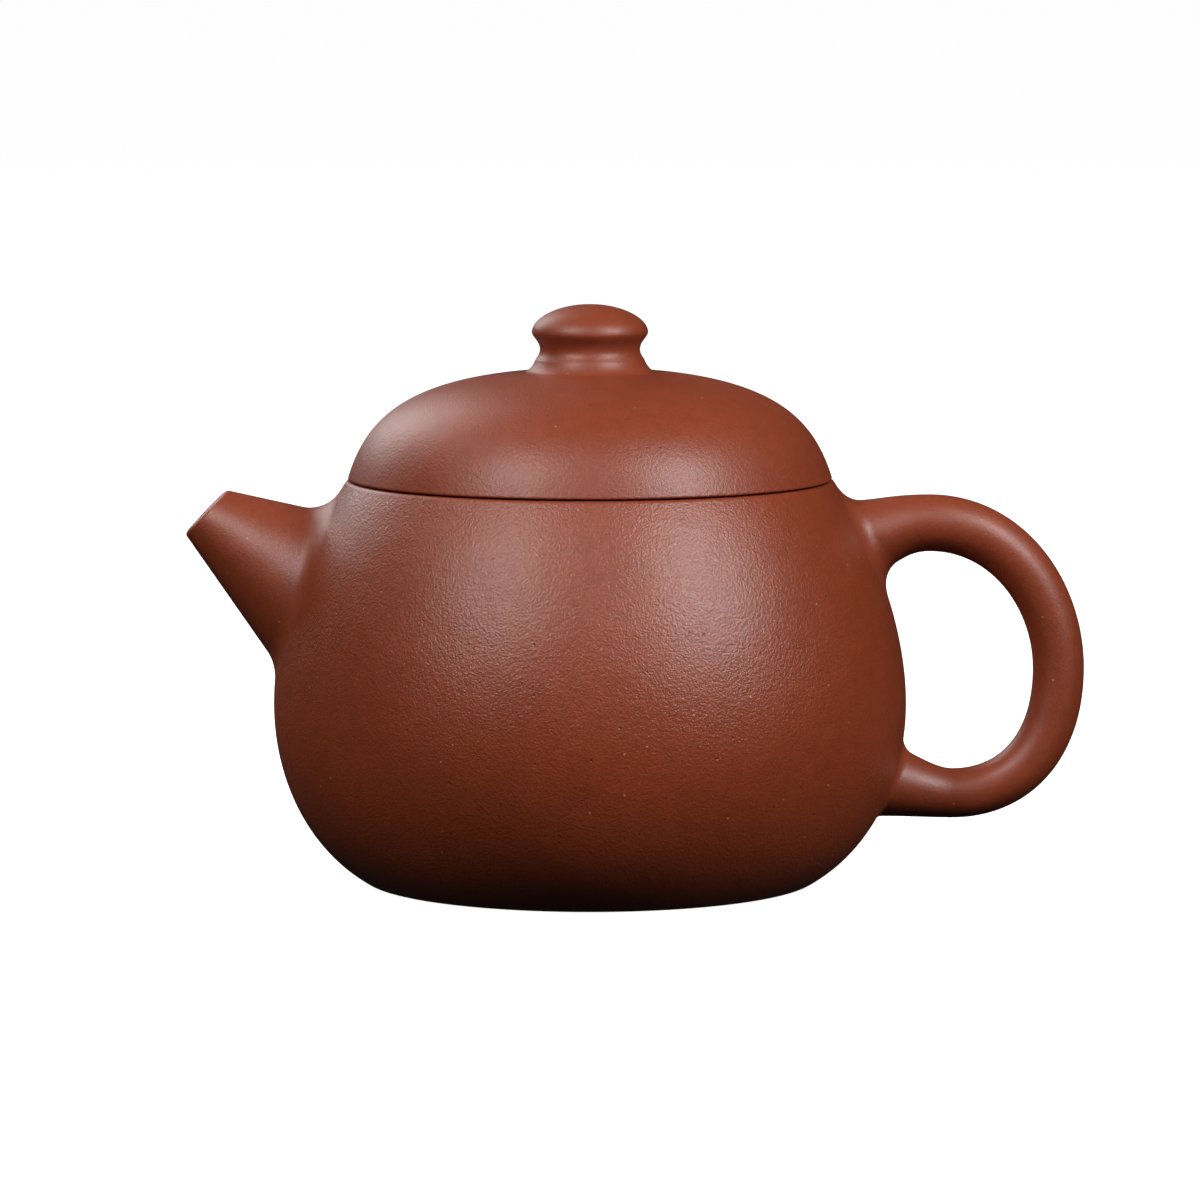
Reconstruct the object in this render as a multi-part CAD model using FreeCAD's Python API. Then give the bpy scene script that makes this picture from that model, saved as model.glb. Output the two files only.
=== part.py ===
import FreeCAD, Part

# A round-bodied Yixing clay teapot: a potter's assembly of a beaten wall, slabs, rings, a spout, a
# handle and a lift-off lid with a button knob.
#
# Millimetres, +Z up. The origin is on the pot's turning axis, in the plane that the pot rests on.
# The spout points to -X and the handle is on the +X side, so XZ is the plane of symmetry.

import math
import os

from FreeCAD import Vector

# ---- Driving dimensions ----------------------------------------------------------------------

# Belly: two curves that meet at the widest circle. A "pull" is the length of a curve's handle.
FOOT_R = 31.8
FOOT_FLARE_DEG = 28.8       # steepness of the belly where it leaves the foot
FOOT_PULL = 9.6
BELLY_R = 45.0
BELLY_Z = 25.3
BELLY_PULL_DOWN = 10.7
BELLY_PULL_UP = 9.8
RIM_R = 34.5
RIM_Z = 57.15
RIM_LEAN_DEG = 57.0         # steepness of the shoulder where it reaches the rim
RIM_PULL = 12.1

WALL = 3.0
SLAB = 3.0                  # thickness of the bottom slab
SLAB_R = 31.0
CAVITY_FLARE_DEG = 30.0     # the cavity's outline follows the belly's, a wall's thickness inside it
CAVITY_FLOOR_PULL = 8.0
CAVITY_PULL_DOWN = 9.5
CAVITY_PULL_UP = 9.2
SHOULDER_WALL = 1.3         # how much further in than the rim the cavity ends
FOOT_HEIGHT = 1.8
FOOT_BORE_R = 21.5
MOUTH_R = 30.0
MOUTH_DEPTH = 3.15          # thickness of the ring that the mouth is cut through
EDGE_ROUND = 0.35
FOOT_ROUND = 0.5

# Lid: a dome on a flat seat ring, with a flange that drops into the mouth.
LID_GAP = 0.1               # clearance between the rim and the lid
LID_R = 34.4
LID_TOP_Z = 72.85
LID_EDGE_DEG = 72.6         # steepness of the dome at its edge
LID_EDGE_PULL = 9.1
LID_TOP_PULL = 26.1
LID_WALL = 2.8
SEAT_THICK = 2.1
HOLLOW_INSET = 0.7          # how much thicker than its crown the dome is at its edge
HOLLOW_EDGE_PULL = 6.5
HOLLOW_TOP_PULL = 23.0
FLANGE_CLEARANCE = 0.3      # between the flange and the mouth
FLANGE_THICK = 2.5
FLANGE_DEPTH = 7.0
FLANGE_TURN_GAP = 0.03      # keeps the flange's top clear of the seat ring that turns on it
VENT_R = 0.9

# Knob: a flattened button on a waisted neck, turned about the pot's axis.
KNOB_TOP_Z = 82.1
KNOB_R = 8.25
KNOB_EDGE_Z = 78.1
KNOB_CROWN_PULL = 4.6
KNOB_EDGE_PULL = 2.0
WAIST_R = 7.1
WAIST_Z = 75.7
NECK_STEP_R = 7.75
NECK_STEP_Z = 74.2
KNOB_FOOT_R = 9.2

# Spout: a straight cone, its mouth cut a little off square.
SPOUT_TIP = Vector(-54.87, 0, 52.41)
SPOUT_RISE_DEG = 33.9
SPOUT_HALF_ANGLE_DEG = 21.4
SPOUT_TIP_R = 4.16
SPOUT_REACH = 23.0          # length of the cone from its tip into the belly
SPOUT_MOUTH_DEG = 43.6      # the direction that the mouth faces, above the horizontal
SPOUT_FILLET = 4.3
SPOUT_LIP = 1.5
SPOUT_LIP_ROUND = 0.45
SPOUT_BORE_R = 7.5          # hole through the belly wall, behind the spout

# Strainer: a pierced half-ball over the spout's hole, inside the pot.
STRAINER_R = 9.5
STRAINER_THICK = 1.4
STRAINER_HOLE_R = 0.85
STRAINER_RINGS = 3
STRAINER_RING_STEP_DEG = 19.0

# Handle: an ear of round section. Its centre line runs through five points, given as (x, z).
HANDLE_UPPER_ROOT = (36.0, 48.6)
HANDLE_TOP = (48.3, 51.0)
HANDLE_FAR = (66.7, 30.1)
HANDLE_LOW = (51.7, 12.3)
HANDLE_LOWER_ROOT = (38.0, 14.6)
HANDLE_UPPER_ROOT_DEG = 3.3
HANDLE_PULLS = ((5.3, 5.6), (10.9, 10.7), (11.5, 8.6), (4.5, 4.5))
HANDLE_THICK = (11.0, 8.1, 7.3, 7.05, 11.4)
HANDLE_WIDTH_RATIO = 1.08   # width across the pot over thickness in the plane of the ear
HANDLE_SECTIONS_PER_SPAN = 4
HANDLE_UPPER_FILLET = 3.2
HANDLE_LOWER_FILLET = 1.8

# ---- Helpers ---------------------------------------------------------------------------------


def rz(radius, height):
    """A point of a turned outline."""
    return Vector(radius, 0, height)


def slope(degrees):
    """The direction that rises outwards at an angle to the horizontal."""
    angle = math.radians(degrees)
    return Vector(math.cos(angle), 0, math.sin(angle))


def curve(start, start_handle, end_handle, end):
    bezier = Part.BezierCurve()
    bezier.setPoles([start, start_handle, end_handle, end])
    return bezier.toShape()


def line(start, end):
    return Part.makeLine(start, end)


def turned(*edges):
    """The solid that a closed outline sweeps about the Z axis, its seam clear of spout and handle."""
    face = Part.Face(Part.Wire(list(edges)))
    face.rotate(Vector(0, 0, 0), Vector(0, 0, 1), 90)
    return face.revolve(Vector(0, 0, 0), Vector(0, 0, 1), 360)


def disc(radius, low, high):
    return Part.makeCylinder(radius, high - low, Vector(0, 0, low))


def tube(outer, inner, low, high):
    return disc(outer, low, high).cut(disc(inner, low, high))


def rounded(shape, radius, is_wanted):
    """The shape with every edge that is_wanted(edge) picks rounded off."""
    edges = [edge for edge in shape.Edges if is_wanted(edge)]
    return shape.makeFillet(radius, edges)


def ring_edge(radius, height):
    """Picks the full circle of one radius at one height."""
    def is_wanted(edge):
        box = edge.BoundBox
        flat = box.ZLength < 0.01 and abs(box.ZMax - height) < 0.01
        return flat and abs(box.XMax - radius) < 0.01 and abs(box.XMin + radius) < 0.01
    return is_wanted


def one_solid(shape):
    """The shape's only solid; a part that fell into pieces is an error."""
    solids = shape.removeSplitter().Solids
    if len(solids) != 1:
        raise ValueError(f"expected one solid, found {len(solids)}")
    return solids[0]


# ---- Forms that several pieces are cut from ---------------------------------------------------


def belly_form():
    """The full outside of the pot's body, as one turned solid."""
    foot = rz(FOOT_R, 0)
    belly = rz(BELLY_R, BELLY_Z)
    rim = rz(RIM_R, RIM_Z)
    foot_handle = foot + slope(FOOT_FLARE_DEG) * FOOT_PULL
    rim_handle = rim - slope(180 - RIM_LEAN_DEG) * RIM_PULL
    return turned(
        line(rz(0, 0), foot),
        curve(foot, foot_handle, belly - rz(0, BELLY_PULL_DOWN), belly),
        curve(belly, belly + rz(0, BELLY_PULL_UP), rim_handle, rim),
        line(rim, rz(0, RIM_Z)),
        line(rz(0, RIM_Z), rz(0, 0)),
    )


def cavity_form():
    """The space inside the wall, from the slab's top to the underside of the mouth ring."""
    floor_z = FOOT_HEIGHT + SLAB
    top_z = RIM_Z - MOUTH_DEPTH
    floor_edge = rz(SLAB_R, floor_z)
    floor_handle = floor_edge + slope(CAVITY_FLARE_DEG) * CAVITY_FLOOR_PULL
    belly = rz(BELLY_R - WALL, BELLY_Z)
    shoulder = rz(RIM_R - SHOULDER_WALL, top_z)
    shoulder_handle = shoulder - slope(180 - RIM_LEAN_DEG) * (RIM_PULL - WALL / 2)
    return turned(
        line(rz(0, floor_z), floor_edge),
        curve(floor_edge, floor_handle, belly - rz(0, CAVITY_PULL_DOWN), belly),
        curve(belly, belly + rz(0, CAVITY_PULL_UP), shoulder_handle, shoulder),
        line(shoulder, rz(0, top_z)),
        line(rz(0, top_z), rz(0, floor_z)),
    )


def dome_form(radius, low, top, edge_pull, top_pull):
    """A solid dome with a flat underside."""
    edge = rz(radius, low)
    crown = rz(0, top)
    edge_handle = edge + slope(180 - LID_EDGE_DEG) * edge_pull
    return turned(
        line(rz(0, low), edge),
        curve(edge, edge_handle, rz(top_pull, top), crown),
        line(crown, rz(0, low)),
    )


def lid_form():
    return dome_form(LID_R, RIM_Z + LID_GAP, LID_TOP_Z, LID_EDGE_PULL, LID_TOP_PULL)


# ---- Pot --------------------------------------------------------------------------------------


def spout_direction():
    """Along the spout, out of the pot."""
    return slope(180 - SPOUT_RISE_DEG)


def spout_root(form):
    """Where the spout's axis passes through the surface of a turned form."""
    inward = spout_direction() * -1
    axis = line(SPOUT_TIP, SPOUT_TIP + inward * 30)
    hits = form.Shells[0].section(axis).Vertexes
    return min((hit.Point for hit in hits), key=lambda point: point.distanceToPoint(SPOUT_TIP))


def body_wall(belly, cavity):
    wall = belly.cut(cavity)
    wall = wall.cut(disc(BELLY_R + 1, RIM_Z - MOUTH_DEPTH, RIM_Z + 1))
    wall = wall.cut(disc(BELLY_R + 1, -1, FOOT_HEIGHT))
    wall = wall.cut(disc(SLAB_R, 0, FOOT_HEIGHT + SLAB + 1))
    inside = spout_root(cavity) + spout_direction() * -8
    pierce = Part.makeCylinder(SPOUT_BORE_R, 20, inside, spout_direction())
    return one_solid(wall.cut(pierce))


def base_slab():
    return disc(SLAB_R, FOOT_HEIGHT, FOOT_HEIGHT + SLAB)


def foot_ring(belly):
    ring = belly.common(disc(BELLY_R, 0, FOOT_HEIGHT))
    ring = ring.cut(disc(FOOT_BORE_R, -1, FOOT_HEIGHT + 1))
    ring = rounded(ring, FOOT_ROUND, ring_edge(FOOT_R, 0))
    ring = rounded(ring, FOOT_ROUND, ring_edge(FOOT_BORE_R, 0))
    return one_solid(ring)


def mouth_ring(belly):
    ring = belly.common(disc(BELLY_R, RIM_Z - MOUTH_DEPTH, RIM_Z + 1))
    ring = ring.cut(disc(MOUTH_R, 0, RIM_Z + 1))
    ring = rounded(ring, EDGE_ROUND, ring_edge(RIM_R, RIM_Z))
    ring = rounded(ring, EDGE_ROUND, ring_edge(MOUTH_R, RIM_Z))
    return one_solid(ring)


def spout(belly):
    """A cone that is filleted into the belly, with a tapering channel through it."""
    inward = spout_direction() * -1
    growth = math.tan(math.radians(SPOUT_HALF_ANGLE_DEG))
    over = 3.0
    start = SPOUT_TIP - inward * over
    start_r = SPOUT_TIP_R - over * growth
    end_r = SPOUT_TIP_R + SPOUT_REACH * growth
    cone = Part.makeCone(start_r, end_r, SPOUT_REACH + over, start, inward)
    joined = belly.fuse(cone)

    def is_root(edge):
        middle = edge.valueAt((edge.FirstParameter + edge.LastParameter) / 2)
        on_cone = any(edge.isSame(other) for other in cone.Edges)
        outside = middle.x < 0 and 5 < middle.z < RIM_Z - 0.5
        return outside and not on_cone and edge.BoundBox.YLength > 5

    joined = rounded(joined, SPOUT_FILLET, is_root)
    body = joined.cut(belly)
    facing = slope(180 - SPOUT_MOUTH_DEG)
    waste = Part.makeCylinder(20, 20, SPOUT_TIP, facing)
    body = body.cut(waste)
    root = spout_root(belly)
    taper_start_r = SPOUT_TIP_R - SPOUT_LIP - over * growth
    taper = Part.makeCone(taper_start_r, SPOUT_BORE_R, root.distanceToPoint(start), start, inward)
    channel = taper.fuse(Part.makeCylinder(SPOUT_BORE_R, 10, root, inward))

    def is_lip(edge):
        distances = [(vertex.Point - SPOUT_TIP).dot(facing) for vertex in edge.Vertexes]
        middle = edge.valueAt((edge.FirstParameter + edge.LastParameter) / 2)
        distances.append((middle - SPOUT_TIP).dot(facing))
        return max(abs(distance) for distance in distances) < 0.01

    return one_solid(rounded(body.cut(channel), SPOUT_LIP_ROUND, is_lip))


def ball_strainer(cavity):
    """A half-ball shell on the wall's inside, pierced by rings of holes."""
    centre = spout_root(cavity)
    ball = Part.makeSphere(STRAINER_R, centre)
    hollow = Part.makeSphere(STRAINER_R - STRAINER_THICK, centre)
    shell = ball.cut(hollow).common(cavity)
    inward = spout_direction() * -1
    sideways = Vector(0, 1, 0)
    drills = []
    for ring in range(STRAINER_RINGS + 1):
        count = max(1, 6 * ring)
        tilt = STRAINER_RING_STEP_DEG * ring
        for index in range(count):
            aim = FreeCAD.Rotation(inward, 360 * index / count).multVec(
                FreeCAD.Rotation(sideways, tilt).multVec(inward)
            )
            start = centre + aim * (STRAINER_R - STRAINER_THICK - 1)
            drills.append(Part.makeCylinder(STRAINER_HOLE_R, STRAINER_THICK + 2, start, aim))
    return one_solid(shell.cut(drills))


def handle_span(index):
    """The four control points of one span of the handle's centre line."""
    points = [HANDLE_UPPER_ROOT, HANDLE_TOP, HANDLE_FAR, HANDLE_LOW, HANDLE_LOWER_ROOT]
    headings = [slope(HANDLE_UPPER_ROOT_DEG), slope(0), slope(-90), slope(180), slope(180)]
    start = rz(*points[index])
    end = rz(*points[index + 1])
    first_pull, last_pull = HANDLE_PULLS[index]
    return (
        start,
        start + headings[index] * first_pull,
        end - headings[index + 1] * last_pull,
        end,
    )


def handle_section(index, t):
    """The handle's elliptical section part of the way, t, along a span."""
    bezier = Part.BezierCurve()
    bezier.setPoles(list(handle_span(index)))
    centre = bezier.value(t)
    along = bezier.tangent(t)[0]
    across = Vector(0, 1, 0)
    blend = t * t * (3 - 2 * t)
    thick = HANDLE_THICK[index] * (1 - blend) + HANDLE_THICK[index + 1] * blend
    wide = thick * HANDLE_WIDTH_RATIO
    outward = along.cross(across).normalize()
    ellipse = Part.Ellipse(centre + across * (wide / 2), centre + outward * (thick / 2), centre)
    return Part.Wire([ellipse.toShape()])


def handle(belly):
    sections = [handle_section(0, 0.0)]
    for index in range(len(HANDLE_PULLS)):
        for step in range(1, HANDLE_SECTIONS_PER_SPAN + 1):
            sections.append(handle_section(index, step / HANDLE_SECTIONS_PER_SPAN))
    ear = Part.makeLoft(sections, True, False)
    joined = belly.fuse(ear)

    def root_above(low, high):
        def is_wanted(edge):
            box = edge.BoundBox
            return box.XMin > 30 and box.YLength > 5 and low < box.Center.z < high
        return is_wanted

    joined = rounded(joined, HANDLE_UPPER_FILLET, root_above(BELLY_Z, RIM_Z - 1))
    joined = rounded(joined, HANDLE_LOWER_FILLET, root_above(5, BELLY_Z))
    return one_solid(joined.cut(belly))


# ---- Lid --------------------------------------------------------------------------------------


def lid_dome(lid):
    low = RIM_Z + LID_GAP + SEAT_THICK
    hollow_r = LID_R - LID_WALL - HOLLOW_INSET
    hollow_top = LID_TOP_Z - LID_WALL
    hollow = dome_form(hollow_r, low, hollow_top, HOLLOW_EDGE_PULL, HOLLOW_TOP_PULL)
    dome = lid.cut(disc(LID_R + 1, 0, low))
    return one_solid(dome.cut(hollow).cut(disc(VENT_R, low, LID_TOP_Z + 1)))


def lid_seat_ring(lid):
    low = RIM_Z + LID_GAP
    flange_bore = MOUTH_R - FLANGE_CLEARANCE - FLANGE_THICK
    ring = lid.common(disc(LID_R + 1, low, low + SEAT_THICK))
    ring = ring.cut(disc(flange_bore, low - 1, low + SEAT_THICK + 1))
    return one_solid(rounded(ring, EDGE_ROUND, ring_edge(LID_R, low)))


def lid_flange():
    top = RIM_Z + LID_GAP - FLANGE_TURN_GAP
    outer = MOUTH_R - FLANGE_CLEARANCE
    ring = tube(outer, outer - FLANGE_THICK, top - FLANGE_DEPTH, top)
    ring = rounded(ring, EDGE_ROUND * 2, ring_edge(outer, top - FLANGE_DEPTH))
    return one_solid(ring)


def knob(lid):
    """The button, its neck and its spreading foot, with the vent hole down its axis."""
    crown = rz(0, KNOB_TOP_Z)
    edge = rz(KNOB_R, KNOB_EDGE_Z)
    waist = rz(WAIST_R, WAIST_Z)
    step = rz(NECK_STEP_R, NECK_STEP_Z)
    foot = rz(KNOB_FOOT_R, LID_TOP_Z - 0.6)
    body = turned(
        line(rz(0, foot.z), crown),
        curve(crown, rz(KNOB_CROWN_PULL, KNOB_TOP_Z), edge + rz(0, KNOB_EDGE_PULL), edge),
        curve(edge, edge - rz(0.15, 0.75), waist + rz(0, 1.1), waist),
        curve(waist, waist - rz(0, 0.7), step + rz(-0.15, 0.3), step),
        curve(step, step - rz(-0.25, 0.7), foot + rz(-0.6, 0.55), foot),
        line(foot, rz(0, foot.z)),
    )
    return one_solid(body.cut(lid).cut(disc(VENT_R, LID_TOP_Z - 2, KNOB_TOP_Z + 1)))


# ---- Export -----------------------------------------------------------------------------------


def build():
    belly = belly_form()
    cavity = cavity_form()
    lid = lid_form()
    return {
        "body_wall": body_wall(belly, cavity),
        "base_slab": base_slab(),
        "foot_ring": foot_ring(belly),
        "mouth_ring": mouth_ring(belly),
        "spout": spout(belly),
        "ball_strainer": ball_strainer(cavity),
        "handle": handle(belly),
        "lid_dome": lid_dome(lid),
        "lid_seat_ring": lid_seat_ring(lid),
        "lid_flange": lid_flange(),
        "knob": knob(lid),
    }


os.makedirs("parts", exist_ok=True)
for name, shape in build().items():
    if not shape.isValid():
        raise ValueError(f"{name} is not a valid solid")
    shape.exportStep(f"parts/{name}.step")
    print(f"{name}: {shape.Volume / 1000:.2f} cm3")
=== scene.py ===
# A round Yixing teapot of unglazed red clay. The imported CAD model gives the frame: every piece
# below stands in for one CAD node, in the same place, with a finer form and the clay's surface.
#
# Lengths are in metres. +Z is up, the pot is round about Z, the spout points to -X and the handle
# to +X. Flat outlines are (radius, height); the handle's flat points are (x, z).

import math

import bmesh
import bpy
import numpy as np
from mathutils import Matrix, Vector

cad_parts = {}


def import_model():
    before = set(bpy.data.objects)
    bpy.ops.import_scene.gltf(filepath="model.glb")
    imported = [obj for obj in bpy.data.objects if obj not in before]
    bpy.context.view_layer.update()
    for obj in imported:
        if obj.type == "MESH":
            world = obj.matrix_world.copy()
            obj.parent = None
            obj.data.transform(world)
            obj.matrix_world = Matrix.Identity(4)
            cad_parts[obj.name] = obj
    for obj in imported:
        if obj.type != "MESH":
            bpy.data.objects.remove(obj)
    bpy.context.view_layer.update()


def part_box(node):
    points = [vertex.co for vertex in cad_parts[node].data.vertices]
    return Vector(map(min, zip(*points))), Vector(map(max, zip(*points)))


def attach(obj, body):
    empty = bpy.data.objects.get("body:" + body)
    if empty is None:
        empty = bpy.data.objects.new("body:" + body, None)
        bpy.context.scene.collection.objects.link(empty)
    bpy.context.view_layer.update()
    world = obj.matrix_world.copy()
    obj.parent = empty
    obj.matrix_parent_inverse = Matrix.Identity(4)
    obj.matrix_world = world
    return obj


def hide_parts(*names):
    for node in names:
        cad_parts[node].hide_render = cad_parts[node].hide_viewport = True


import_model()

MM = 0.001


def low(node):
    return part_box(node)[0].z


def high(node):
    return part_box(node)[1].z


def reach(node):
    """The radius of a turned node."""
    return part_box(node)[1].y


# ---- Sizes --------------------------------------------------------------------------------------

FOOT_TOP = high("foot_ring")
FLOOR_Z = high("base_slab")
SLAB_R = reach("base_slab")
SHOULDER_Z = low("mouth_ring")
RIM_Z = high("mouth_ring")
BELLY_R = reach("body_wall")
SEAM_GAP = 0.12 * MM    # added to the gap under the lid, so that the seam reads as a dark line
LID_LOW = low("lid_seat_ring") + SEAM_GAP
SEAT_TOP = high("lid_seat_ring")
LID_TOP = high("lid_dome")
FLANGE_R = reach("lid_flange")
FLANGE_LOW = low("lid_flange")
FLANGE_TOP = high("lid_flange")
KNOB_TOP = high("knob")

# Belly outline: two curves that meet at the widest circle.
FOOT_R = 31.8 * MM
FOOT_FLARE = math.radians(28.8)
FOOT_PULL = 9.6 * MM
BELLY_Z = 25.3 * MM
BELLY_PULL_DOWN = 10.7 * MM
BELLY_PULL_UP = 9.8 * MM
RIM_R = 34.5 * MM
RIM_LEAN = math.radians(57)
RIM_PULL = 12.1 * MM
WALL = 3.0 * MM
FOOT_BORE_R = 21.5 * MM
MOUTH_R = 30.0 * MM
EDGE = 0.35 * MM        # rounding of the rim's and the lid's edges
FOOT_EDGE = 0.6 * MM
FOOT_SIDE_SHARE = 0.4   # of the foot's rounding, the share that runs up its outer side

# The hollow inside the belly, from the slab's edge by the widest circle to the shoulder.
CAVITY_FLARE = math.radians(30)
CAVITY_PULL = 8 * MM
CAVITY_PULL_DOWN = 9.5 * MM
CAVITY_PULL_UP = 9.2 * MM
CAVITY_TOP_INSET = 1.3 * MM

LID_R = 34.4 * MM
LID_EDGE_LEAN = math.radians(72.6)
LID_EDGE_PULL = 9.1 * MM
LID_TOP_PULL = 26.1 * MM
LID_WALL = 2.8 * MM
LID_HOLLOW_INSET = 0.7 * MM
LID_HOLLOW_EDGE_PULL = 6.5 * MM
LID_HOLLOW_TOP_PULL = 23 * MM
FLANGE_THICK = 2.5 * MM
VENT_R = 0.9 * MM
VENT_EDGE = 0.3 * MM

# The knob's outline runs by crown, edge, waist, neck step and foot. Pulls are its curves' handles.
KNOB_R = 8.25 * MM
KNOB_EDGE_Z = 78.1 * MM
WAIST = np.array((7.1, 75.7)) * MM
NECK_STEP = np.array((7.75, 74.2)) * MM
KNOB_FOOT_R = 9.4 * MM
CROWN_PULL = np.array((4.6, 0)) * MM
EDGE_PULL_UP = np.array((0, 2)) * MM
EDGE_PULL_DOWN = np.array((-0.15, -0.75)) * MM
WAIST_PULL_UP = np.array((0, 1.1)) * MM
WAIST_PULL_DOWN = np.array((0, -0.7)) * MM
STEP_PULL_UP = np.array((-0.15, 0.3)) * MM
STEP_PULL_DOWN = np.array((0.25, -0.7)) * MM
KNOB_FOOT_PULL = np.array((-0.7, 0.05)) * MM

SPOUT_TIP = np.array((-54.87, 0, 52.41)) * MM
SPOUT_RISE = math.radians(33.9)
SPOUT_GROWTH = math.tan(math.radians(21.4))
SPOUT_TIP_R = 4.16 * MM
SPOUT_MOUTH_RISE = math.radians(43.6)
SPOUT_LIP = 1.5 * MM
SPOUT_LIP_ROUND = 0.5 * MM
SPOUT_BORE_R = 7.5 * MM
SPOUT_LEAD = 3 * MM             # the lip's thickness is measured this far in front of the tip
SPOUT_ROOT_RANGE = (6 * MM, 30 * MM)    # the root lies this far from the tip
SPOUT_SKIRT_R = 3.4 * MM
SPOUT_SKIRT_EXTRA_TOP = 1.4 * MM
SPOUT_SKIRT_EXTRA_BOTTOM = 2.6 * MM
SPOUT_SKIRT_FADE = 1.5          # how fast the extra fades towards the spout's sides

STRAINER_R = 9.5 * MM
STRAINER_THICK = 1.4 * MM
STRAINER_HOLE_R = 0.85 * MM
STRAINER_RINGS = 3              # rings of holes round the one at the crown
STRAINER_RING_GROWTH = 6        # holes in the first ring, and added in each ring after it
STRAINER_RING_STEP = math.radians(19)
STRAINER_SPREAD = math.radians(97)      # from the crown to the edge, a little past half a ball

# The ear's centre line runs through these points, from its upper to its lower root.
HANDLE_POINTS = np.array(((36, 48.6), (48.3, 51), (66.7, 30.1), (51.7, 12.3), (38, 14.6))) * MM
HANDLE_HEADINGS = np.radians((3.3, 0, -90, 180, 180))
HANDLE_PULLS = np.array(((5.3, 5.6), (10.9, 10.7), (11.5, 8.6), (4.5, 4.5))) * MM
HANDLE_THICK = np.array((11.0, 8.1, 7.3, 7.05, 11.4)) * MM
HANDLE_WIDTH_RATIO = 1.08
HANDLE_SPANS = len(HANDLE_PULLS)
HANDLE_SKIRT_R = 2.8 * MM
HANDLE_SKIRT_EXTRA_OUTER = 1.4 * MM
HANDLE_SKIRT_EXTRA_INNER = 1.2 * MM
HANDLE_LOW_SKIRT_R = 1.2 * MM
HANDLE_LOW_SKIRT_EXTRA_INNER = 1.4 * MM

SEGMENTS = 256          # round a turned piece
SECTION_POINTS = 96     # round the spout's and the handle's sections
CORNER_STEPS = 6        # across a rounded corner
SKIRT_STEPS = 14        # down a skirt, from the tube to the belly
SINK = 0.02 * MM        # how far a luted skirt dips into the surface it joins
SUPPORT = 0.05 * MM     # distance from an edge of the row that holds its shading
SHARP = math.radians(40)        # a steeper edge than this is shaded sharp

# ---- Outlines: arrays of (radius, height) -------------------------------------------------------


def heading(angle):
    return np.array((math.cos(angle), math.sin(angle)))


def bezier_at(start, start_handle, end_handle, end, t):
    u = 1 - t
    return u**3 * start + 3 * u * u * t * start_handle + 3 * u * t * t * end_handle + t**3 * end


def bezier(start, start_handle, end_handle, end, steps=200):
    return bezier_at(start, start_handle, end_handle, end, np.linspace(0, 1, steps + 1)[:, None])


def bend(start, corner, end):
    """A rounded corner, between points or between whole rings of points."""
    shares = np.linspace(0, 1, CORNER_STEPS + 1)
    return np.array([
        (1 - t) ** 2 * start + 2 * (1 - t) * t * corner + t * t * end for t in shares
    ])


def clip(outline, axis, lowest, highest):
    """The stretch of an outline whose radius (axis 0) or height (axis 1) is between two values."""
    values = outline[:, axis]
    rising = values[-1] > values[0]
    ordered = outline if rising else outline[::-1]
    ends = [
        [np.interp(v, ordered[:, axis], ordered[:, k]) for k in (0, 1)] for v in (lowest, highest)
    ]
    inner = ordered[(ordered[:, axis] > lowest) & (ordered[:, axis] < highest)]
    stretch = np.vstack([ends[0], inner, ends[1]])
    return stretch if rising else stretch[::-1]


def even(outline, steps):
    """The same stretch with evenly spaced points, and a support point close to each end."""
    lengths = np.linalg.norm(np.diff(outline, axis=0), axis=1)
    along = np.concatenate([[0], np.cumsum(lengths)])
    total = along[-1]
    places = np.linspace(0, total, steps + 1)
    places = np.sort(np.concatenate([places, [SUPPORT, total - SUPPORT]]))
    return np.column_stack([np.interp(places, along, outline[:, k]) for k in (0, 1)])


def belly_outline():
    foot = np.array((FOOT_R, 0))
    belly = np.array((BELLY_R, BELLY_Z))
    rim = np.array((RIM_R, RIM_Z))
    down = np.array((0, BELLY_PULL_DOWN))
    up = np.array((0, BELLY_PULL_UP))
    lower = bezier(foot, foot + heading(FOOT_FLARE) * FOOT_PULL, belly - down, belly)
    rim_handle = rim - heading(math.pi - RIM_LEAN) * RIM_PULL
    upper = bezier(belly, belly + up, rim_handle, rim)
    return np.vstack([lower, upper[1:]])


def cavity_outline():
    start = np.array((SLAB_R, FLOOR_Z))
    belly = np.array((BELLY_R - WALL, BELLY_Z))
    top = np.array((RIM_R - CAVITY_TOP_INSET, SHOULDER_Z))
    down = np.array((0, CAVITY_PULL_DOWN))
    up = np.array((0, CAVITY_PULL_UP))
    first = bezier(start, start + heading(CAVITY_FLARE) * CAVITY_PULL, belly - down, belly)
    top_handle = top - heading(math.pi - RIM_LEAN) * (RIM_PULL - WALL / 2)
    second = bezier(belly, belly + up, top_handle, top)
    return np.vstack([first, second[1:]])


def dome_outline(radius, bottom, top, edge_pull, top_pull):
    edge = np.array((radius, bottom))
    edge_handle = edge + heading(math.pi - LID_EDGE_LEAN) * edge_pull
    return bezier(edge, edge_handle, np.array((top_pull, top)), np.array((0, top)))


BELLY = belly_outline()
DOME = dome_outline(LID_R, LID_LOW, LID_TOP, LID_EDGE_PULL, LID_TOP_PULL)

# ---- The belly as a surface ---------------------------------------------------------------------

BELLY_SLOPES = np.gradient(BELLY[:, 0], BELLY[:, 1])


def unit(vectors):
    return vectors / np.linalg.norm(vectors, axis=-1, keepdims=True)


def height_over_belly(points):
    """How much further from the axis than the belly each point is."""
    surface = np.interp(points[:, 2], BELLY[:, 1], BELLY[:, 0])
    return np.hypot(points[:, 0], points[:, 1]) - surface


def belly_normals(points):
    radius = np.hypot(points[:, 0], points[:, 1])
    slope = np.interp(points[:, 2], BELLY[:, 1], BELLY_SLOPES)
    return unit(np.column_stack([points[:, 0] / radius, points[:, 1] / radius, -slope]))


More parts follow.
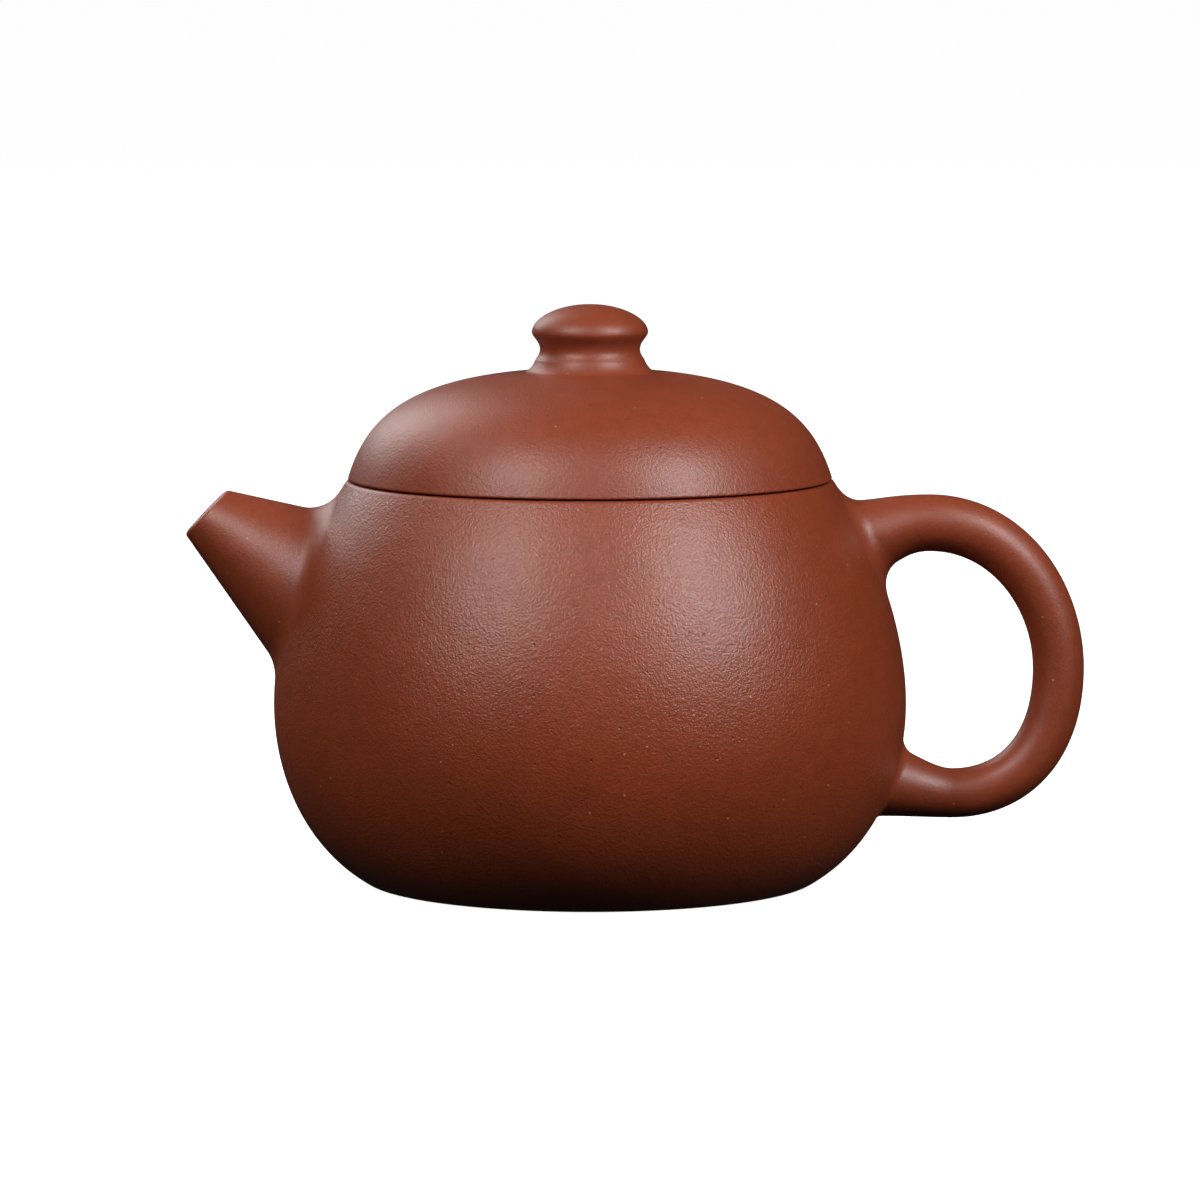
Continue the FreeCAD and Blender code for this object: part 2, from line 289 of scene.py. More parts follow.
def on_belly(points, sink=0.0):
    """The nearest points on the belly, or a little under its surface."""
    for _ in range(6):      # each pass brings them closer
        normals = belly_normals(points)
        steepness = np.hypot(normals[:, 0], normals[:, 1])
        points = points - normals * (height_over_belly(points) * steepness)[:, None]
    return points - belly_normals(points) * sink


def meeting(line, outside, inside):
    """Where each line of a tube passes through the belly, as the line's own parameter."""
    for _ in range(50):     # each pass halves the range
        middle = (outside + inside) / 2
        is_out = height_over_belly(line(middle)) > 0
        outside = np.where(is_out, middle, outside)
        inside = np.where(is_out, inside, middle)
    return (outside + inside) / 2


def skirt(line, at, step_out, radius):
    """Rings that round the corner between a tube and the belly, from the tube to the belly.

    line(parameters) gives a point on each line of the tube, at is where the lines meet the belly,
    step_out is the sign of the parameter's change away from the belly, and radius is the rounding
    on each line. Also returns the parameters where the rings leave the tube."""
    corner = line(at)
    small = 1e-4 * step_out     # a short step, to measure directions with
    rate = np.linalg.norm(line(at + small) - corner, axis=1) / abs(small)
    round_about = unit(np.roll(corner, -1, axis=0) - np.roll(corner, 1, axis=0))
    ground = belly_normals(corner)
    outward = unit(line(at + small) - corner)
    tube_normals = unit(np.cross(round_about, outward))
    centre = corner.mean(axis=0)
    flip = np.sign(((corner - centre) * tube_normals).sum(axis=1, keepdims=True))
    tube_normals = tube_normals * flip
    away = np.cross(round_about, ground)
    away = unit(away * np.sign(((corner - centre) * away).sum(axis=1, keepdims=True)))
    turn = np.arccos(np.clip((tube_normals * ground).sum(axis=1), -1, 1))
    span = radius * np.tan(turn / 2)
    ratio = (4 / 3) * np.tan(turn / 4) / np.tan(turn / 2)
    leave = at + step_out * span / rate
    start = line(leave)
    start_dir = unit(line(leave - small) - start)
    end = on_belly(corner + away * span[:, None])
    back = corner - end
    end_normals = belly_normals(end)
    back = unit(back - end_normals * (back * end_normals).sum(axis=1, keepdims=True))
    pull = (ratio * span)[:, None]
    rings = []
    for k in range(1, SKIRT_STEPS + 1):
        t = (1 - math.cos(math.pi * k / SKIRT_STEPS)) / 2
        rings.append(bezier_at(start, start + start_dir * pull, end + back * pull, end, t))
    rings[-1] = on_belly(rings[-1], SINK)
    return rings, leave


# ---- Meshes -------------------------------------------------------------------------------------


def grid(rings, closed):
    """Vertices and faces of a skin over rings of points.

    In a closed skin the last ring joins the first; otherwise both ends are capped with a fan."""
    rings = np.array(rings)
    count, points = rings.shape[:2]
    vertices = rings.reshape(-1, 3).tolist()
    faces = []
    for i in range(count if closed else count - 1):
        here = i * points
        there = (i + 1) % count * points
        for j in range(points):
            k = (j + 1) % points
            faces.append((here + j, here + k, there + k, there + j))
    if not closed:
        for end in (0, count - 1):
            vertices.append(rings[end].mean(axis=0).tolist())
            hub = len(vertices) - 1
            for j in range(points):
                faces.append((end * points + j, end * points + (j + 1) % points, hub))
    return vertices, faces


def turned(outline, segments=SEGMENTS):
    """A closed outline turned about the Z axis."""
    outline = np.array(outline)
    angles = np.linspace(0, 2 * math.pi, segments, endpoint=False)
    rings = [
        np.column_stack([
            outline[:, 0] * math.cos(a),
            outline[:, 0] * math.sin(a),
            outline[:, 1],
        ])
        for a in angles
    ]
    return grid(rings, closed=True)


def make_object(name, vertices, faces):
    """An object of one mesh, with doubled points merged and its faces turned outwards."""
    mesh = bpy.data.meshes.new(name)
    mesh.from_pydata(vertices, [], faces)
    work = bmesh.new()
    work.from_mesh(mesh)
    bmesh.ops.remove_doubles(work, verts=work.verts, dist=1e-7)
    bmesh.ops.recalc_face_normals(work, faces=work.faces)
    work.to_mesh(mesh)
    work.free()
    thing = bpy.data.objects.new(name, mesh)
    bpy.context.collection.objects.link(thing)
    return thing


def shade(thing):
    mesh = thing.data
    mesh.polygons.foreach_set("use_smooth", [True] * len(mesh.polygons))
    mesh.set_sharp_from_angle(angle=SHARP)


def drill(thing, cutter):
    """Cuts one object out of another and removes the cutter."""
    modifier = thing.modifiers.new("drill", "BOOLEAN")
    modifier.object = cutter
    modifier.solver = "EXACT"
    graph = bpy.context.evaluated_depsgraph_get()
    cut = bpy.data.meshes.new_from_object(thing.evaluated_get(graph))
    thing.modifiers.clear()
    thing.data = cut
    bpy.data.objects.remove(cutter)


def rod(radius, length, start, direction, sides=48):
    """Vertices and faces of a closed cylinder."""
    turn = Vector(direction).to_track_quat("Z", "Y").to_matrix()
    rings = []
    for z in (0, length):
        ring = [
            Vector(start) + turn @ Vector((radius * math.cos(a), radius * math.sin(a), z))
            for a in np.linspace(0, 2 * math.pi, sides, endpoint=False)
        ]
        rings.append([tuple(point) for point in ring])
    return grid(rings, closed=False)


# ---- Clay ---------------------------------------------------------------------------------------

# Scales count features per metre, so that 1700 makes grains of about 0.6 mm.
BROAD_SCALE = 38
MOTTLE_SCALE = 420
SAND_SCALE = 1700
FINE_SCALE = 3400
WAVE_SCALE = 95
WAVE_HEIGHT = 0.17 * MM         # the slight unevenness of a hand-worked wall
FINE_SHARE = 0.75               # the fine grain's part in the relief, beside the sand's
PIT_SHARE = 0.9                 # how deep a dark speck dips
SHEEN_SPREAD = 0.04
SPECULAR = 0.72

NOISE_RANGE = (0.3, 0.7)        # where most of a noise's values lie
BROAD_RANGE = (0.35, 0.65)
MOTTLE_TINT = (0.93, 1.07)      # factors on the colour
SAND_TINT = (0.9, 1.1)

# Specks: scale of the cells, size of a speck in its cell, share of the cells that have one.
PALE_SPECKS = (640, 0.13, 0.07)
PALE_STRENGTH = 0.8
PALE_COLOUR = (0.62, 0.27, 0.14)
DARK_SPECKS = (520, 0.12, 0.14)
DARK_STRENGTH = 0.7
DARK_COLOUR = (0.045, 0.014, 0.010)
SPECK_CORE = 0.4                # the part of a speck that has its full colour


class Graph:
    """Short names for making a material's nodes."""

    def __init__(self, name):
        self.material = bpy.data.materials.new(name)
        self.material.use_nodes = True
        self.tree = self.material.node_tree
        self.shader = self.tree.nodes["Principled BSDF"]
        self.place = self.tree.nodes.new("ShaderNodeTexCoord").outputs["Object"]

    def link(self, source, socket):
        self.tree.links.new(source, socket)

    def noise(self, scale, detail=2.0, roughness=0.5):
        node = self.tree.nodes.new("ShaderNodeTexNoise")
        node.inputs["Scale"].default_value = scale
        node.inputs["Detail"].default_value = detail
        node.inputs["Roughness"].default_value = roughness
        self.link(self.place, node.inputs["Vector"])
        return node.outputs["Fac"]

    def cells(self, scale):
        """Scattered points: the distance to the nearest one, and its own random colour."""
        node = self.tree.nodes.new("ShaderNodeTexVoronoi")
        node.inputs["Scale"].default_value = scale
        self.link(self.place, node.inputs["Vector"])
        return node.outputs["Distance"], node.outputs["Color"]

    def math(self, operation, first, second):
        node = self.tree.nodes.new("ShaderNodeMath")
        node.operation = operation
        for socket, value in zip(node.inputs, (first, second)):
            if isinstance(value, (int, float)):
                socket.default_value = value
            else:
                self.link(value, socket)
        return node.outputs[0]

    def remap(self, value, from_low, from_high, to_low, to_high):
        node = self.tree.nodes.new("ShaderNodeMapRange")
        numbers = (from_low, from_high, to_low, to_high)
        for name, number in zip(("From Min", "From Max", "To Min", "To Max"), numbers):
            node.inputs[name].default_value = number
        self.link(value, node.inputs["Value"])
        return node.outputs[0]

    def mix(self, amount, first, second, blend="MIX"):
        node = self.tree.nodes.new("ShaderNodeMix")
        node.data_type = "RGBA"
        node.blend_type = blend
        for name, value in (("Factor", amount), ("A", first), ("B", second)):
            kind = "NodeSocketFloatFactor" if name == "Factor" else "NodeSocketColor"
            socket = next(s for s in node.inputs if s.name == name and s.bl_idname == kind)
            if isinstance(value, (int, float)):
                socket.default_value = value
            elif isinstance(value, tuple):
                socket.default_value = (*value, 1)
            else:
                self.link(value, socket)
        return next(s for s in node.outputs if s.bl_idname == "NodeSocketColor")

    def bump(self, height, distance, below=None):
        node = self.tree.nodes.new("ShaderNodeBump")
        node.inputs["Strength"].default_value = 1.0
        node.inputs["Distance"].default_value = distance
        self.link(height, node.inputs["Height"])
        if below:
            self.link(below, node.inputs["Normal"])
        return node.outputs["Normal"]


def specks(graph, scale, size, share):
    """A mask of small dots: one in the given share of cells, softened at the rim."""
    distance, colour = graph.cells(scale)
    dot = graph.remap(distance, size, size * SPECK_CORE, 0, 1)
    split = graph.tree.nodes.new("ShaderNodeSeparateColor")
    graph.link(colour, split.inputs[0])
    chosen = graph.math("LESS_THAN", split.outputs[0], share)
    return graph.math("MULTIPLY", dot, chosen)


def clay(name, light, dark, roughness, grain):
    """Fired clay: a fine sandy skin with pale mineral specks and small dark pits."""
    graph = Graph(name)
    broad = graph.remap(graph.noise(BROAD_SCALE, 3), *BROAD_RANGE, 0, 1)
    mottle = graph.remap(graph.noise(MOTTLE_SCALE, 3, 0.6), *NOISE_RANGE, *MOTTLE_TINT)
    fine = graph.noise(FINE_SCALE, 2, 0.6)
    sand = graph.remap(fine, *NOISE_RANGE, *SAND_TINT)
    colour = graph.mix(broad, dark, light)
    colour = graph.mix(1.0, colour, graph.math("MULTIPLY", mottle, sand), "MULTIPLY")
    pale = specks(graph, *PALE_SPECKS)
    black = specks(graph, *DARK_SPECKS)
    colour = graph.mix(graph.math("MULTIPLY", pale, PALE_STRENGTH), colour, PALE_COLOUR)
    colour = graph.mix(graph.math("MULTIPLY", black, DARK_STRENGTH), colour, DARK_COLOUR)
    graph.link(colour, graph.shader.inputs["Base Color"])
    sheen = graph.remap(fine, *NOISE_RANGE, roughness - SHEEN_SPREAD, roughness + SHEEN_SPREAD)
    graph.link(sheen, graph.shader.inputs["Roughness"])
    sandy = graph.noise(SAND_SCALE, 3, 0.55)
    skin = graph.math("ADD", sandy, graph.math("MULTIPLY", fine, FINE_SHARE))
    skin = graph.math("SUBTRACT", skin, graph.math("MULTIPLY", black, PIT_SHARE))
    waves = graph.bump(graph.noise(WAVE_SCALE, 2), WAVE_HEIGHT)
    graph.link(graph.bump(skin, grain, waves), graph.shader.inputs["Normal"])
    graph.shader.inputs["Specular IOR Level"].default_value = SPECULAR
    graph.shader.inputs["IOR"].default_value = 1.5
    return graph.material


LIGHT_CLAY = (0.268, 0.046, 0.0135)
DARK_CLAY = (0.238, 0.0395, 0.011)

# Roughness, then the height of the grain. Rubbing lays the grain down; with less of it to spread a
# highlight, the roughness alone has to, so it is higher.
SANDY = clay("clay_sandy", LIGHT_CLAY, DARK_CLAY, 0.37, 0.075 * MM)
SATIN = clay("clay_satin", LIGHT_CLAY, DARK_CLAY, 0.43, 0.05 * MM)
BURNISHED = clay("clay_burnished", LIGHT_CLAY, DARK_CLAY, 0.47, 0.022 * MM)
SKINS = {
    "spout": BURNISHED, "handle": BURNISHED, "knob": BURNISHED,
    "lid_dome": SATIN, "lid_seat_ring": SATIN,
}


def finish_piece(thing, node, body):
    """Shades a piece, gives it its clay, and lets it stand for its CAD node on its body."""
    shade(thing)
    thing.data.materials.clear()
    thing.data.materials.append(SKINS.get(node, SANDY))
    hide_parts(node)
    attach(thing, body)


def turned_piece(node, body, *stretches):
    """A piece turned from one closed outline, given in stretches."""
    thing = make_object(f"{node}_clay", *turned(np.vstack(stretches)))
    finish_piece(thing, node, body)


# ---- Pot ----------------------------------------------------------------------------------------

SPOUT_IN = np.array((math.cos(SPOUT_RISE), 0, -math.sin(SPOUT_RISE)))
SPOUT_UP = np.array((math.sin(SPOUT_RISE), 0, math.cos(SPOUT_RISE)))
SPOUT_FACING = np.array((-math.cos(SPOUT_MOUTH_RISE), 0, math.sin(SPOUT_MOUTH_RISE)))
SECTION_ANGLES = np.linspace(0, 2 * math.pi, SECTION_POINTS, endpoint=False)
SECTION_COS = np.cos(SECTION_ANGLES)[:, None]
SECTION_SIN = np.sin(SECTION_ANGLES)[:, None]
SIDEWAYS = np.array((0, 1, 0))


def spout_root_distance(outline):
    """How far along the spout's axis, from its tip, a turned surface lies."""
    distances = np.linspace(0, SPOUT_ROOT_RANGE[1], 3001)
    points = SPOUT_TIP + distances[:, None] * SPOUT_IN
    surface = np.interp(points[:, 2], outline[:, 1], outline[:, 0])
    return distances[np.argmax(np.hypot(points[:, 0], points[:, 1]) < surface)]


def body_wall():
    """The beaten wall of the belly, with the hole behind the spout."""
    outer = even(clip(BELLY, 1, FOOT_TOP, SHOULDER_Z), steps=110)
    inner = even(cavity_outline()[::-1], steps=70)
    outline = np.vstack([outer, inner, [(SLAB_R, FOOT_TOP)]])
    thing = make_object("body_wall_clay", *turned(outline))
    before_wall = 8 * MM
    through_wall = 20 * MM
    start = SPOUT_TIP + SPOUT_IN * (spout_root_distance(BELLY) - before_wall)
    hole = rod(SPOUT_BORE_R, through_wall, start, SPOUT_IN, sides=96)
    drill(thing, make_object("cutter", *hole))
    finish_piece(thing, "body_wall", "pot")


def base_slab():
    turned_piece(
        "base_slab", "pot",
        [(0, FOOT_TOP), (SLAB_R, FOOT_TOP), (SLAB_R, FLOOR_Z), (0, FLOOR_Z)],
    )


def foot_ring():
    outer = even(clip(BELLY, 1, FOOT_EDGE * FOOT_SIDE_SHARE, FOOT_TOP), steps=12)
    turned_piece(
        "foot_ring", "pot",
        bend(np.array((FOOT_R - FOOT_EDGE, 0)), np.array((FOOT_R, 0)), outer[0]),
        outer[1:],
        [(FOOT_BORE_R, FOOT_TOP)],
        bend(np.array((FOOT_BORE_R, FOOT_EDGE)), np.array((FOOT_BORE_R, 0)),
             np.array((FOOT_BORE_R + FOOT_EDGE, 0))),
    )


def mouth_ring():
    outer = even(clip(BELLY, 1, SHOULDER_Z, RIM_Z - EDGE), steps=14)
    turned_piece(
        "mouth_ring", "pot",
        outer[:-1],
        bend(outer[-1], np.array((RIM_R, RIM_Z)), np.array((RIM_R - EDGE, RIM_Z))),
        bend(np.array((MOUTH_R + EDGE, RIM_Z)), np.array((MOUTH_R, RIM_Z)),
             np.array((MOUTH_R, RIM_Z - EDGE))),
        [(MOUTH_R, SHOULDER_Z)],
    )


def spout():
    """A straight cone with a rounded lip, a tapering channel and a skirt luted to the belly."""
    root = spout_root_distance(BELLY)
    lead_r = SPOUT_TIP_R - SPOUT_LIP - SPOUT_LEAD * SPOUT_GROWTH
    taper = (SPOUT_BORE_R - lead_r) / (root + SPOUT_LEAD)
    bore_r = SPOUT_BORE_R - taper * root
    spokes = SPOUT_UP * SECTION_COS + SIDEWAYS * SECTION_SIN

    def on_cone(radius, growth, limit=math.inf):
        def line(distance):
            reach_out = np.minimum(radius + growth * distance, limit)
            return SPOUT_TIP + distance[:, None] * SPOUT_IN + reach_out[:, None] * spokes
        return line

    def at_mouth(radius, growth):
        """Where each line of a cone reaches the plane that the mouth is cut in."""
        facing = spokes @ SPOUT_FACING
        return -radius * facing / (SPOUT_IN @ SPOUT_FACING + growth * facing)

    outside = on_cone(SPOUT_TIP_R, SPOUT_GROWTH)
    channel = on_cone(bore_r, taper, SPOUT_BORE_R)
    outer_start = at_mouth(SPOUT_TIP_R, SPOUT_GROWTH)
    inner_start = at_mouth(bore_r, taper)
    outer_lip = outside(outer_start)
    inner_lip = channel(inner_start)
    flat = unit(inner_lip - outer_lip)

    near, far = (np.full(SECTION_POINTS, limit) for limit in SPOUT_ROOT_RANGE)
    upper = np.clip(SECTION_COS[:, 0], 0, 1) ** SPOUT_SKIRT_FADE
    lower = np.clip(-SECTION_COS[:, 0], 0, 1) ** SPOUT_SKIRT_FADE
    radius = SPOUT_SKIRT_R + SPOUT_SKIRT_EXTRA_TOP * upper + SPOUT_SKIRT_EXTRA_BOTTOM * lower
    skirt_rings, leave = skirt(outside, meeting(outside, near, far), -1, radius)
    channel_end = meeting(channel, near, far)
    opening = channel(channel_end)

    first = outer_start + SPOUT_LIP_ROUND
    rings = list(bend(inner_lip - flat * SPOUT_LIP_ROUND, outer_lip, outside(first)))
    for t in np.linspace(0, 1, 31)[1:]:
        rings.append(outside(first + (leave - first) * t))
    rings += skirt_rings
    for t in np.linspace(0, 1, 8)[1:-1]:
        rings.append(on_belly(skirt_rings[-1] * (1 - t) + opening * t, SINK))
    for t in np.linspace(0, 1, 21):
        rings.append(channel(channel_end + (inner_start + SPOUT_LIP_ROUND - channel_end) * t))
    just_short = 0.9    # stops before the first ring, so that the lip keeps a narrow flat
    rings += list(bend(rings[-1], inner_lip, inner_lip - flat * SPOUT_LIP_ROUND * just_short))[1:]
    finish_piece(make_object("spout_clay", *grid(rings, closed=True)), "spout", "pot")


def ball_strainer():
    """A half-ball shell behind the spout's hole, pierced by rings of holes."""
    centre = SPOUT_TIP + SPOUT_IN * spout_root_distance(cavity_outline())
    angles = np.linspace(0, STRAINER_SPREAD, 40)
    outer = np.column_stack([np.sin(angles), np.cos(angles)]) * STRAINER_R
    inner = (outer * (1 - STRAINER_THICK / STRAINER_R))[::-1]
    vertices, faces = turned(np.vstack([outer, inner]), segments=96)
    turn = Vector(SPOUT_IN).to_track_quat("Z", "Y").to_matrix()
    vertices = [tuple(turn @ Vector(v) + Vector(centre)) for v in vertices]
    thing = make_object("ball_strainer_clay", vertices, faces)
    overshoot = 1 * MM      # of a hole's cutter past the shell, on each side
    cut_vertices = []
    cut_faces = []
    for ring in range(STRAINER_RINGS + 1):
        count = max(1, STRAINER_RING_GROWTH * ring)
        for index in range(count):
            tilt = STRAINER_RING_STEP * ring
            around = 2 * math.pi * index / count
            aim = turn @ Vector((
                math.sin(tilt) * math.cos(around),
                math.sin(tilt) * math.sin(around),
                math.cos(tilt),
            ))
            start = Vector(centre) + aim * (STRAINER_R - STRAINER_THICK - overshoot)
            length = STRAINER_THICK + 2 * overshoot
            vertices, faces = rod(STRAINER_HOLE_R, length, start, aim, sides=24)
            offset = len(cut_vertices)
            cut_vertices += vertices
            cut_faces += [tuple(v + offset for v in face) for face in faces]
    drill(thing, make_object("cutter", cut_vertices, cut_faces))
    finish_piece(thing, "ball_strainer", "pot")


def handle_centre(u):
    """Points and unit headings of the handle's centre line; u grows by one along each span."""
    points = np.zeros((len(u), 2))
    speeds = np.zeros((len(u), 2))
    for k in range(HANDLE_SPANS):
        here = (u >= k) if k == HANDLE_SPANS - 1 else (u >= k) & (u < k + 1)
        t = (u - k)[:, None]
        start, end = HANDLE_POINTS[k], HANDLE_POINTS[k + 1]
        first = start + heading(HANDLE_HEADINGS[k]) * HANDLE_PULLS[k][0]
        last = end - heading(HANDLE_HEADINGS[k + 1]) * HANDLE_PULLS[k][1]
        value = bezier_at(start, first, last, end, t)
        speed = 3 * (1 - t) ** 2 * (first - start) + 6 * (1 - t) * t * (last - first)
        speed = speed + 3 * t * t * (end - last)
        points = np.where(here[:, None], value, points)
        speeds = np.where(here[:, None], speed, speeds)
    return points, unit(speeds)


def handle_line(u):
    """A point on each lengthwise line of the handle."""
    centre, forward = handle_centre(u)
    k = np.clip(np.floor(u).astype(int), 0, HANDLE_SPANS - 1)
    t = u - k
    blend = t * t * (3 - 2 * t)
    thick = HANDLE_THICK[k] * (1 - blend) + HANDLE_THICK[k + 1] * blend
    zero = np.zeros(len(u))
    outward = np.column_stack([-forward[:, 1], zero, forward[:, 0]])
    middle = np.column_stack([centre[:, 0], zero, centre[:, 1]])
    across = SIDEWAYS * SECTION_SIN * HANDLE_WIDTH_RATIO
    return middle + (outward * SECTION_COS + across) * (thick / 2)[:, None]


def handle():
    """An ear of round section whose two ends spread into the belly."""
    everywhere = np.ones(SECTION_POINTS)
    clear_of_belly = 0.9        # of an end span, measured from its root
    last = HANDLE_SPANS * everywhere
    upper_at = meeting(handle_line, clear_of_belly * everywhere, 0 * everywhere)
    lower_at = meeting(handle_line, last - clear_of_belly, last)
    outer = np.clip(SECTION_COS[:, 0], 0, 1)
    inner = np.clip(-SECTION_COS[:, 0], 0, 1)
    upper_radius = (HANDLE_SKIRT_R + HANDLE_SKIRT_EXTRA_OUTER * outer
                    + HANDLE_SKIRT_EXTRA_INNER * inner)
    lower_radius = HANDLE_LOW_SKIRT_R + HANDLE_LOW_SKIRT_EXTRA_INNER * inner ** 2
    upper_rings, upper_leave = skirt(handle_line, upper_at, 1, upper_radius)
    lower_rings, lower_leave = skirt(handle_line, lower_at, -1, lower_radius)
    rings = closing_rings(upper_rings[-1]) + upper_rings[::-1]
    for t in np.linspace(0, 1, 141):
        rings.append(handle_line(upper_leave + (lower_leave - upper_leave) * t))
    rings += lower_rings + closing_rings(lower_rings[-1])[::-1]
    finish_piece(make_object("handle_clay", *grid(rings, closed=False)), "handle", "pot")


def closing_rings(edge):
    """Rings on the belly that close a luted end, from near its middle out to its edge."""
    centre = edge.mean(axis=0)
    return [on_belly(centre + (edge - centre) * t, SINK) for t in (0.05, 0.3, 0.55, 0.8)]


# ---- Lid ----------------------------------------------------------------------------------------


def lid_dome():
    outer = clip(clip(DOME, 1, SEAT_TOP, LID_TOP), 0, VENT_R, LID_R)
    hollow = dome_outline(LID_R - LID_WALL - LID_HOLLOW_INSET, SEAT_TOP, LID_TOP - LID_WALL,
                          LID_HOLLOW_EDGE_PULL, LID_HOLLOW_TOP_PULL)
    inner = clip(hollow, 0, VENT_R, LID_R)[::-1]
    turned_piece("lid_dome", "lid", even(outer, steps=90), even(inner, steps=50))


def lid_seat_ring():
    outer = even(clip(DOME, 1, LID_LOW + EDGE, SEAT_TOP), steps=12)
    inner_r = FLANGE_R - FLANGE_THICK
    turned_piece(
        "lid_seat_ring", "lid",
        bend(np.array((LID_R - EDGE, LID_LOW)), np.array((LID_R, LID_LOW)), outer[0]),
        outer[1:],
        [(inner_r, SEAT_TOP), (inner_r, LID_LOW)],
    )


def lid_flange():
    inner_r = FLANGE_R - FLANGE_THICK
    soft = 2 * EDGE     # the lower edges are rounder, to find the mouth easily
    turned_piece(
        "lid_flange", "lid_flange",
        [(FLANGE_R, FLANGE_TOP), (inner_r, FLANGE_TOP)],
        bend(np.array((inner_r, FLANGE_LOW + soft)), np.array((inner_r, FLANGE_LOW)),
             np.array((inner_r + soft, FLANGE_LOW))),
        bend(np.array((FLANGE_R - soft, FLANGE_LOW)), np.array((FLANGE_R, FLANGE_LOW)),
             np.array((FLANGE_R, FLANGE_LOW + soft))),
    )


def knob():
    """A flattened button on a waisted neck that spreads into the dome, with its vent hole."""
    crown = np.array((0, KNOB_TOP))
    edge = np.array((KNOB_R, KNOB_EDGE_Z))
    cap = bezier(crown, crown + CROWN_PULL, edge + EDGE_PULL_UP, edge)
    cap = even(clip(cap, 0, VENT_R + VENT_EDGE, KNOB_R), steps=40)
    neck = bezier(edge, edge + EDGE_PULL_DOWN, WAIST + WAIST_PULL_UP, WAIST, steps=20)
    collar = bezier(WAIST, WAIST + WAIST_PULL_DOWN, NECK_STEP + STEP_PULL_UP, NECK_STEP, steps=12)
    foot_z = np.interp(KNOB_FOOT_R, DOME[::-1, 0], DOME[::-1, 1]) - SINK
    foot = np.array((KNOB_FOOT_R, foot_z))
    flare = bezier(NECK_STEP, NECK_STEP + STEP_PULL_DOWN, foot + KNOB_FOOT_PULL, foot, steps=14)
    under = clip(DOME, 0, VENT_R, KNOB_FOOT_R) - np.array((0, SINK))
    turned_piece(
        "knob", "lid",
        bend(np.array((VENT_R, KNOB_TOP - VENT_EDGE)), np.array((VENT_R, KNOB_TOP)), cap[0]),
        cap[1:], neck[1:], collar[1:], flare[1:], even(under, steps=10)[1:],
    )


for make in (body_wall, base_slab, foot_ring, mouth_ring, spout, ball_strainer, handle,
             lid_dome, lid_seat_ring, lid_flange, knob):
    make()

# ---- Floor, light and camera --------------------------------------------------------------------

FLOOR_LEVEL = -0.02 * MM
FLOOR_HALF = 80.0
FLOOR_GLOW = 0.95
FLOOR_GREY = (0.8, 0.8, 0.8, 1)
WHITE = (1, 1, 1, 1)

# Strength of the surrounding light, at and below the horizon and straight overhead.
HORIZON = 0.012
SKY = 0.06

# Softboxes face a point in the middle of the pot. Each row: name, azimuth and elevation in degrees,
# width and height in metres, power in watts.
SOFTBOXES = (
    ("left_softbox", -40, 40, 0.22, 0.42, 4.2),
    ("right_softbox", 49, 36, 0.26, 0.46, 6.3),
    ("back_light", -143, 30, 0.5, 0.5, 2.8),
    ("high_side_light", -98, 55, 0.26, 0.4, 0.4),
    ("front_fill", 6, 30, 0.3, 0.4, 0.3),
)
SOFTBOX_DISTANCE = 0.9
SOFTBOX_TARGET = Vector((0, 0, 0.04))

CAMERA_ELEVATION = 6.1
CAMERA_DISTANCE = 0.9
CAMERA_TARGET = Vector((1.42 * MM, 0, 39.96 * MM))
CAMERA_LENS = 189.8
CAMERA_SENSOR = 36


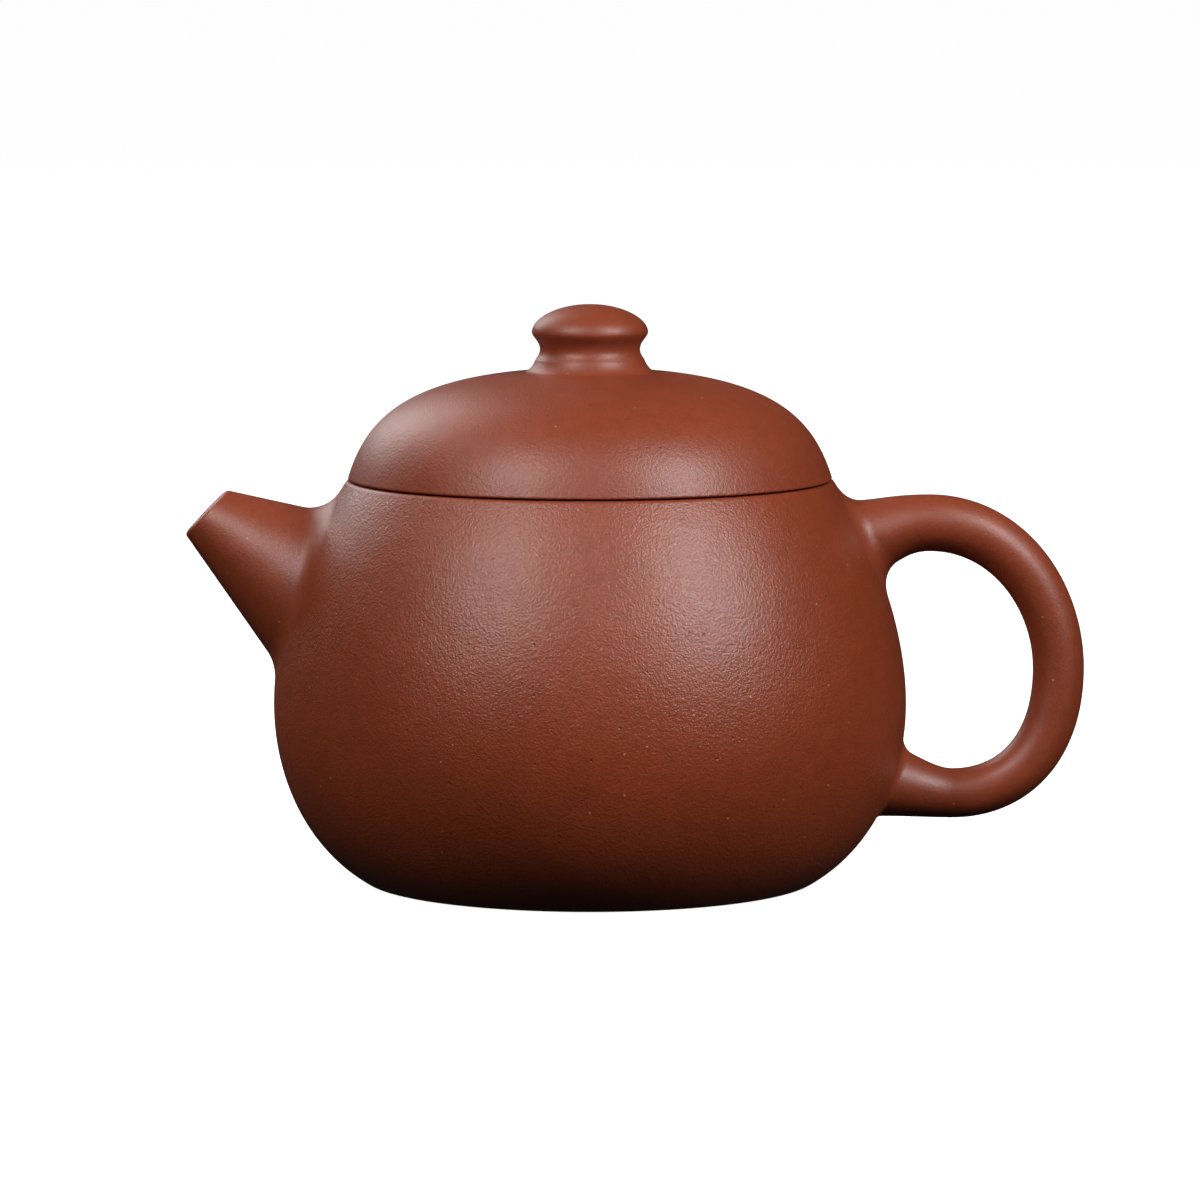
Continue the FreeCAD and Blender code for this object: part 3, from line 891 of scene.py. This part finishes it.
def floor():
    """A white floor that glows a little, so it stays even, and throws no light up at the pot."""
    sides = ((-1, -1), (1, -1), (1, 1), (-1, 1))
    corners = [(x * FLOOR_HALF, y * FLOOR_HALF, FLOOR_LEVEL) for x, y in sides]
    thing = make_object("floor", corners, [(0, 1, 2, 3)])
    material = bpy.data.materials.new("pale_floor")
    material.use_nodes = True
    shader = material.node_tree.nodes["Principled BSDF"]
    shader.inputs["Base Color"].default_value = FLOOR_GREY
    shader.inputs["Roughness"].default_value = 0.8
    shader.inputs["Emission Color"].default_value = WHITE
    shader.inputs["Emission Strength"].default_value = FLOOR_GLOW
    thing.data.materials.append(material)
    thing.visible_diffuse = False
    thing.visible_glossy = False


def towards(azimuth, elevation):
    """Unit direction from the pot; azimuth 0 is towards the front, positive to the right."""
    a, e = math.radians(azimuth), math.radians(elevation)
    return Vector((math.sin(a) * math.cos(e), -math.cos(a) * math.cos(e), math.sin(e)))


def place_facing(name, data, target, aim, distance):
    """Puts a light or a camera at a distance from its target and turns it to face it."""
    thing = bpy.data.objects.new(name, data)
    bpy.context.collection.objects.link(thing)
    thing.location = target + aim * distance
    thing.rotation_euler = aim.to_track_quat("Z", "Y").to_euler()
    return thing


def softbox(name, azimuth, elevation, width, height, power):
    data = bpy.data.lights.new(name, "AREA")
    data.shape = "RECTANGLE"
    data.size = width
    data.size_y = height
    data.energy = power
    aim = towards(azimuth, elevation)
    thing = place_facing(name, data, SOFTBOX_TARGET, aim, SOFTBOX_DISTANCE)
    thing.visible_camera = False


def world():
    """Faint light from above that fades out towards the horizon."""
    studio = bpy.data.worlds.new("studio")
    studio.use_nodes = True
    tree = studio.node_tree
    place = tree.nodes.new("ShaderNodeTexCoord")
    split = tree.nodes.new("ShaderNodeSeparateXYZ")
    fade = tree.nodes.new("ShaderNodeMapRange")
    for name, number in (("From Min", 0), ("From Max", 1), ("To Min", HORIZON), ("To Max", SKY)):
        fade.inputs[name].default_value = number
    tree.links.new(place.outputs["Generated"], split.inputs[0])
    tree.links.new(split.outputs["Z"], fade.inputs["Value"])
    tree.links.new(fade.outputs[0], tree.nodes["Background"].inputs["Strength"])
    tree.nodes["Background"].inputs["Color"].default_value = WHITE
    bpy.context.scene.world = studio


def camera():
    data = bpy.data.cameras.new("camera")
    data.lens = CAMERA_LENS
    data.sensor_width = CAMERA_SENSOR
    aim = towards(0, CAMERA_ELEVATION)
    thing = place_facing("camera", data, CAMERA_TARGET, aim, CAMERA_DISTANCE)
    bpy.context.scene.camera = thing


floor()
world()
for row in SOFTBOXES:
    softbox(*row)
camera()
bpy.context.scene.view_settings.view_transform = "Standard"
